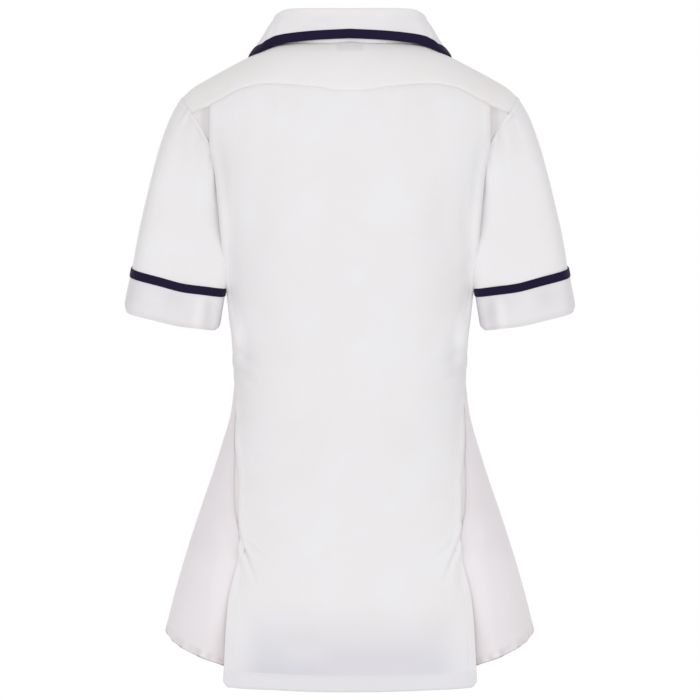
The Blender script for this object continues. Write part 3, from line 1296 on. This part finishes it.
def makeCuff(side):
    p = cuff
    seed = p["seed"] + (0 if side == "left" else 100)
    base = np.stack([cuffRing(turnsRound, d) for d in np.linspace(0, p["length"] - 0.9 * mm, p["rows"])])
    outward = tubeNormals(base)
    around, signed, down = roundTube(base)
    folds = creases(joined(signed, down), p["folds"]) + 0.7 * clothUnevenness(base, seed)
    fromEnd = p["length"] - down
    lift = p["lift"] + folds * fade(down, 12)
    lift += puckers(around, down, *p["seamPuckers"], seed + 1)
    lift += stitchDip(down, p["topstitch"], 0.3)
    curl, over = p["hemRound"]
    lift -= curl * (1 - np.sqrt(1 - np.clip(1 - fromEnd / over, 0, 1) ** 2))
    grid = base + outward * lift[..., None]
    line = lineAt(grid, down, p["topstitch"])
    uv = cutPlan(around, down)
    sheet = rollUnder([grid, outward, uv], "bottom", 1.0 * mm, p["turnUp"])

    across = np.linspace(-0.5, 0.5, 11)
    braid = np.stack([cuffRing(turnsRound, d) for d in across * (p["trimWidth"] - 1.2 * mm)])
    braidOut = tubeNormals(braid)
    braidLift = p["lift"] + p["trimLift"] - 0.25 * mm * (2 * across[:, None]) ** 2
    follow = np.interp(np.abs(across), [0, 0.5], [0.3, 0.6])[:, None]
    braidLift = braidLift + follow * (lift[2:3] - p["lift"]) + 0.1 * mm * wander(braid, 6 * mm, seed + 2)
    braid = braid + braidOut * braidLift[..., None]
    braidUv = np.stack(np.broadcast_arrays(around[:1], across[:, None] * p["trimWidth"]), axis=-1)
    trim = rollUnder([braid, braidOut, braidUv], "top", 0.5 * mm, 1.0 * mm)
    trim = rollUnder(trim, "bottom", 0.5 * mm, 1.0 * mm)
    lines = [np.concatenate([row, row[:1]]) for row in (line, braid[1], braid[-2])]
    if side == "right":
        sheet, trim, lines = flipped(*sheet), flipped(*trim), flipped(*lines)
    sew(lines[0])
    sew(*lines[1:], colour="navy")
    name = side.capitalize()
    mean, uneven, atFold = p["tints"]
    fold = bell(signed - 138 * mm, 5 * mm) - 0.8 * bell(signed - 126 * mm, 5 * mm)
    under = mean + uneven * wander(base, 0.022, seed + 3) + atFold * fold * fade(down, 20)
    under = np.pad(under, ((0, len(sheet[0]) - len(under)), (0, 0)), mode="edge")
    return (clothPiece(f"cuff{name}", sheet, 0.8 * mm, wrap=True, under=under),
            clothPiece(f"cuffTrim{name}", trim, 0.4 * mm, wrap=True))


for side in ("left", "right"):
    dress(makeSleeve(side), [f"sleeve_{side}"], whiteCloth)
    cuffPiece, cuffBraid = makeCuff(side)
    dress(cuffPiece, [f"cuff_{side}"], cuffCloth)
    dress(cuffBraid, [f"cuff_trim_{side}"], navyBraid)

# Collar
collar = {
    "roll": (  # half of it: share of the way round from the nape, then where its roll line passes
        (0, 0, 0.0605, 0.0377), (0.14, 0.034, 0.0575, 0.0382), (0.28, 0.0685, 0.0435, 0.0391),
        (0.42, 0.0858, 0.022, 0.0318), (0.56, 0.0865, -0.008, 0.0205), (0.72, 0.076, -0.039, -0.001),
        (0.86, 0.063, -0.061, -0.023), (1, 0.05, -0.0765, -0.0455),
    ),
    "edge": (  # and where its outer edge passes
        (0, 0, 0.0615, 0.0044), (0.14, 0.035, 0.0562, 0.0034), (0.28, 0.07, 0.0458, 0.001),
        (0.35, 0.0855, 0.0412, -0.0018), (0.42, 0.1005, 0.0378, -0.0084), (0.56, 0.114, 0.012, -0.0118),
        (0.72, 0.1165, -0.028, -0.0175), (0.86, 0.1115, -0.057, -0.0345), (1, 0.101, -0.079, -0.06),
    ),
    "columns": 112,
    "rows": 44,
    "rollRadius": 1.9 * mm,
    "bulge": 2.8 * mm,  # how much fuller the fall is at the sides of the neck
    "lift": 1.3 * mm,
    "trimWidth": 9.6 * mm,
    "topstitch": 2.4 * mm,
    "seed": 101,
    "trimPuckers": (9, 0.22, 9, 103),
    "standPuckers": (8, 0.25, 6, 108),
    "fallCut": (0.50, 0.066, 0.92),
    "standCut": (0.40, 0.036, 0.72),
    "trimCut": (0.52, 0.018, 1.0),
    "folds": (  # mm: distance round from the nape, distance up from the outer edge
        (86, 40, 90, 35, 97, 27, 2.6, 1.1, 1), (94, 10, 92, 20, 86, 34, 4, 0.8, 1),
        (104, 10, 104, 20, 100, 32, 4, 0.7, 1), (74, 36, 84, 44, 96, 46, 6, 0.9, 0.2),
        (132, 12, 130, 24, 122, 40, 6, 0.6, 0.6), (30, 12, 31, 22, 27, 36, 7, 0.35, 0.6),
        (160, 14, 158, 28, 152, 44, 8, 0.7, 0.4),
    ),
}


def neckSeam(shares):  # the back neckline, then the V down to the gorge
    side = 0.46
    behind = body(neckLine(np.clip(shares / side, 0, 1)))
    downV = np.clip((shares - side) / (1 - side), 0, 1) * lapel["gorge"]
    before = locate(*vLine(downV), False)
    before[downV <= 0, 1] = ridgeStation(False)
    return np.where((shares <= side)[:, None], behind, body(before))


def resample(curve, wanted):  # cuts each column of a curve at the wanted shares of its length
    run = runAlong(curve)
    grid = np.empty((wanted.shape[0], curve.shape[1], 3))
    for j in range(curve.shape[1]):
        for k in range(3):
            grid[:, j, k] = np.interp(wanted[:, j], run[:, j], curve[:, j, k])
    return grid, run[-1]


def makeCollar():
    p = collar
    shares = np.linspace(0, 1, p["columns"])
    roll, edge = (joined(*(smoothTable(p[key], k)(shares) for k in (1, 2, 3))) for key in ("roll", "edge"))
    seam = neckSeam(shares) + [0, 0, 0.6 * mm]
    down = unit(seam - roll)
    tall = np.linalg.norm(seam - roll, axis=1)[:, None]
    level = unit(np.cross([0, 0, 1], np.gradient(roll, axis=0) * [1, 1, 0]))
    outward = unit(level - down * np.sum(level * down, axis=1, keepdims=True))
    radius = np.clip(0.06 * tall, 0.8 * mm, p["rollRadius"])
    centre = roll + down * radius
    start = roll + (seam - roll) * 0.2 - outward * radius
    turn = np.linspace(0, math.pi, 13)[:, None, None]
    arc = centre - outward * radius * np.cos(turn) - down * radius * np.sin(turn)
    bulge = (1.2 * mm + p["bulge"] * ease((shares - 0.24) / 0.14))[:, None]
    first = arc[-1] + level * bulge + down * 3 * mm
    last = edge + (roll - edge) * 0.35 + level * bulge
    t = np.linspace(0, 1, 81)[1:, None, None]
    straight = start + (arc[0] - start) * np.linspace(0, 1, 5)[:-1, None, None]
    curve = np.concatenate([straight, arc, bezier(t, arc[-1], first, last, edge)])
    total = resample(curve, np.zeros((1, len(shares))))[1]
    near = np.linspace(0, 1, p["rows"])[:, None]
    wanted = near * total[None]
    grid, _ = resample(curve, wanted)
    base = withMirror(grid)
    normals = sheetNormals(base, base * [1, 1, 0] * (np.arange(len(base)) == len(base) - 1)[:, None, None])
    away = lengths(base)
    middle = away["left"][:, -1:] / 2
    round_ = away["left"] - middle
    place = joined(round_, away["bottom"])
    folds = creases(place, bothSides(p["folds"], 3.0)) + 0.55 * clothUnevenness(base, p["seed"])
    onFall = fade(away["top"] - 14 * mm, 10)
    lift = p["lift"] * onFall + folds * onFall * (0.5 + 0.5 * fade(away["side"], 8))
    lift += puckers(round_, away["bottom"] - p["trimWidth"], *p["trimPuckers"]) * onFall
    lift += stitchDip(away["bottom"], p["trimWidth"] + p["topstitch"], 0.28) * onFall
    outer = base + normals * lift[..., None]
    sew(lineAt(outer, away["bottom"], p["trimWidth"] + p["topstitch"], slice(3, -3)))
    under = (0.14 + 0.08 * wander(base, 0.03, p["seed"] + 3)) * onFall
    under = np.pad(under, ((0, 0), (9, 9)), mode="edge")
    sheet = rollBoth([outer, normals, place], 0.7 * mm, 2 * mm)
    fallPiece = clothPiece("collarFall", sheet, 0.7 * mm, under=under)

    band = np.linspace(p["trimWidth"], 0.4 * mm, 9)
    rows = [lineAt(outer, away["bottom"], d) for d in band]
    outs = [lineAt(normals, away["bottom"], d) for d in band]
    trim, trimOut = np.stack(rows), unit(np.stack(outs))
    crown = (0.75 - 0.2 * np.abs(np.linspace(-1, 1, 9)) ** 2)[:, None, None] * mm
    trim = trim + trimOut * (crown + 0.08 * mm * wander(trim, 6 * mm, p["seed"] + 4)[..., None])
    trimUv = np.stack(np.broadcast_arrays(lengths(trim)["left"], band[:, None]), axis=-1)
    sew(trim[1], trim[-2], colour="navy")
    wrapped = rollUnder([trim, trimOut, trimUv], "bottom", 1.1 * mm, 6 * mm)
    wrapped = rollUnder(wrapped, "top", 0.4 * mm, 0.8 * mm)
    trimPiece = clothPiece("collarTrim", wrapped, 0.4 * mm)

    stand = seam + (start + outward * radius * 0.9 - seam) * np.linspace(1, 0, 22)[:, None, None]
    standBase = withMirror(stand)
    standOut = sheetNormals(standBase, standBase * [1, 1, 0])
    standAway = lengths(standBase)
    standLift = 0.4 * clothUnevenness(standBase, p["seed"] + 6) + seamEdge(standAway["bottom"])
    standLift += puckers(standAway["left"], standAway["bottom"], *p["standPuckers"])
    standGrid = standBase + standOut * standLift[..., None]
    standUv = cutPlan(standAway["left"], standAway["top"])
    return fallPiece, trimPiece, clothPiece("collarStand", [standGrid, standOut, standUv], 1.2 * mm)


fallPiece, trimPiece, standPiece = makeCollar()
dress(fallPiece, ["collar_fall"], whiteCloth)
dress(trimPiece, ["collar_trim"], navyBraid)
dress(standPiece, ["collar_stand"], whiteCloth)

label = {
    "halfWidth": 0.014,
    "top": -0.005,
    "bottom": -0.021,
    "inset": 1.7 * mm,
    "seed": 111,
    "rows": 14,
    "columns": 14,
    "cut": (0.028, 0.016, 1.0),
}


def makeLabel():
    p = label
    across = np.linspace(0, p["halfWidth"], p["columns"])
    heights = np.linspace(p["top"], p["bottom"], p["rows"])
    domain = locate(across[None, :], heights[:, None], True)
    base, outward, away = laid(domain, True)
    lift = p["inset"] + 0.3 * clothUnevenness(base, p["seed"]) + 0.5 * mm * fade(away["top"], 12)
    grid = base - outward * lift[..., None]
    uv = cutPlan(base[..., 0], away["top"])
    sew(lineAt(grid, away["top"], 1.2 * mm, slice(1, -1)))
    return clothPiece("neckLabel", [grid, -outward, uv], 0.4 * mm)


dress(makeLabel(), ["neck_label"], labelTape)

# Stitches, along the lines kept by the pieces above
thread = {
    "pitch": 3.1 * mm,
    "long": 2.5 * mm,
    "thick": 0.42 * mm,
    "vary": (0.88, 1.08),  # shares of the length
    "seed": 7,
}


def threadTree(material):
    sizes = {"Pitch": thread["pitch"], "Stitch length": thread["long"], "Thickness": thread["thick"]}
    inputs, outputs = {"Lines": "Geometry", **sizes}, {"Stitches": "Geometry"}
    tree, given, out = newGroup("stitching", "GeometryNodeTree", inputs, outputs)
    tree.is_modifier = True
    curve = addNode(tree, "GeometryNodeMeshToCurve", {"Mesh": given["Lines"]}).outputs["Curve"]
    spots = addNode(tree, "GeometryNodeResampleCurve", {
        "Curve": curve, "Length": given["Pitch"]}, mode="LENGTH")
    grain = addNode(tree, "GeometryNodeMeshUVSphere", {"Segments": 6, "Rings": 4, "Radius": 0.5})
    tangent = addNode(tree, "GeometryNodeInputTangent").outputs["Tangent"]
    align = addNode(tree, "FunctionNodeAlignRotationToVector", {"Vector": tangent}, axis="Z")
    vary = addNode(tree, "FunctionNodeRandomValue", {
        2: thread["vary"][0], 3: thread["vary"][1], "Seed": thread["seed"]}, data_type="FLOAT")
    longer = mathNode(tree, "MULTIPLY", vary.outputs[1], given["Stitch length"])
    size = addNode(tree, "ShaderNodeCombineXYZ", {0: given["Thickness"], 1: given["Thickness"], 2: longer})
    placed = addNode(tree, "GeometryNodeInstanceOnPoints", {
        "Points": spots.outputs["Curve"],
        "Instance": grain.outputs["Mesh"],
        "Rotation": align.outputs["Rotation"],
        "Scale": size.outputs[0],
    })
    real = addNode(tree, "GeometryNodeRealizeInstances", {"Geometry": placed.outputs["Instances"]})
    smooth = addNode(tree, "GeometryNodeSetShadeSmooth", {"Geometry": real.outputs["Geometry"]})
    dyed = addNode(tree, "GeometryNodeSetMaterial", {
        "Geometry": smooth.outputs["Geometry"], "Material": material})
    fill(tree, out, {"Stitches": dyed.outputs["Geometry"]})
    return tree, sizes


def makeThreads(name, lines, material):
    edges, start = [], 0
    for line in lines:
        edges += [(start + i, start + i + 1) for i in range(len(line) - 1)]
        start += len(line)
    mesh = bpy.data.meshes.new(f"{name}Lines")
    mesh.from_pydata(np.concatenate(lines).tolist(), edges, [])
    carrier = added(f"{name}Lines", mesh)
    tree, sizes = threadTree(material)
    modifier = carrier.modifiers.new("stitching", "NODES")
    modifier.node_group = tree
    sockets = {item.name: item.identifier for item in tree.interface.items_tree if item.in_out == "INPUT"}
    for label, value in sizes.items():
        modifier[sockets[label]] = value
    shape = carrier.evaluated_get(bpy.context.evaluated_depsgraph_get())
    made = added(name, bpy.data.meshes.new_from_object(shape))
    bpy.data.objects.remove(carrier)
    if not made.data.materials:
        made.data.materials.append(material)
    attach(made, "root")
    print(f"{name}: {len(made.data.polygons)} faces")


whiteThread = clothMaterial("whiteThread", {
    **whiteLook, "cool": (0.84, 0.835, 0.845), "warm": (0.83, 0.82, 0.825), "sheen": 0.05, "bump": 0.05})
navyThread = clothMaterial("navyThread", {**braidLook, "cool": (0.018, 0.012, 0.044), "bump": 0.05})
makeThreads("whiteStitches", threadPaths["white"], whiteThread)
makeThreads("navyStitches", threadPaths["navy"], navyThread)

# Camera, light and floor
studio = {
    "camera": ((0, 3.04, -0.346), (math.pi / 2, 0, math.pi), 36 * 3.0 / 0.791),
    "world": 0.66,
    "lights": (  # place, aimed at, size, watts
        ((-1.9, 3.2, 0.6), (0, 0, -0.35), 2.4, 23),
        ((1.9, 3.2, 0.6), (0, 0, -0.35), 2.4, 23),
        ((0, 3.4, -1.0), (0, 0, -0.35), 2.0, 12.5),
        ((-1.9, -3.2, 0.8), (0, 0, -0.35), 2.4, 27),
        ((1.9, -3.2, 0.8), (0, 0, -0.35), 2.4, 27),
    ),
    "floor": (6.0, -1.6),
}


def aim(thing, place, target):
    thing.location = place
    way = np.array(target, float) - np.array(place, float)
    flat = math.hypot(way[0], way[1])
    thing.rotation_euler = (math.atan2(flat, -way[2]), 0, math.atan2(-way[0], way[1]))


def makeStudio():
    s = studio
    camera = added("camera", bpy.data.cameras.new("camera"))
    camera.data.sensor_width = 36
    camera.location, camera.rotation_euler, camera.data.lens = s["camera"]
    bpy.context.scene.camera = camera
    for i, (place, target, size, watts) in enumerate(s["lights"]):
        light = bpy.data.lights.new(f"softbox{i}", "AREA")
        light.shape, light.size, light.energy = "SQUARE", size, watts
        aim(added(f"softbox{i}", light), place, target)
    world = bpy.data.worlds.new("studio")
    bpy.context.scene.world = world
    world.use_nodes = True
    tree = world.node_tree
    seen = tree.nodes["Background"]
    fill(tree, seen, {"Color": (1, 1, 1, 1)})
    lit = addNode(tree, "ShaderNodeBackground", {"Color": (0.985, 0.99, 1, 1), "Strength": s["world"]})
    rays = addNode(tree, "ShaderNodeLightPath").outputs["Is Camera Ray"]
    mix = addNode(tree, "ShaderNodeMixShader", {0: rays, 1: lit.outputs[0], 2: seen.outputs[0]})
    fill(tree, tree.nodes["World Output"], {0: mix.outputs[0]})
    radius, height = s["floor"]
    turn = np.linspace(0, 2 * math.pi, 97)[:-1]
    ring = joined(radius * np.cos(turn), radius * np.sin(turn), np.full(96, height))
    mesh = bpy.data.meshes.new("floor")
    mesh.from_pydata(ring.tolist(), [], [list(range(96))])
    material = bpy.data.materials.new("floor")
    material.use_nodes = True
    shader = material.node_tree.nodes["Principled BSDF"]
    fill(material.node_tree, shader, {"Base Color": (0.86, 0.86, 0.86, 1), "Roughness": 0.7})
    mesh.materials.append(material)
    added("floor", mesh)
    bpy.context.scene.view_settings.view_transform = "Standard"


makeStudio()
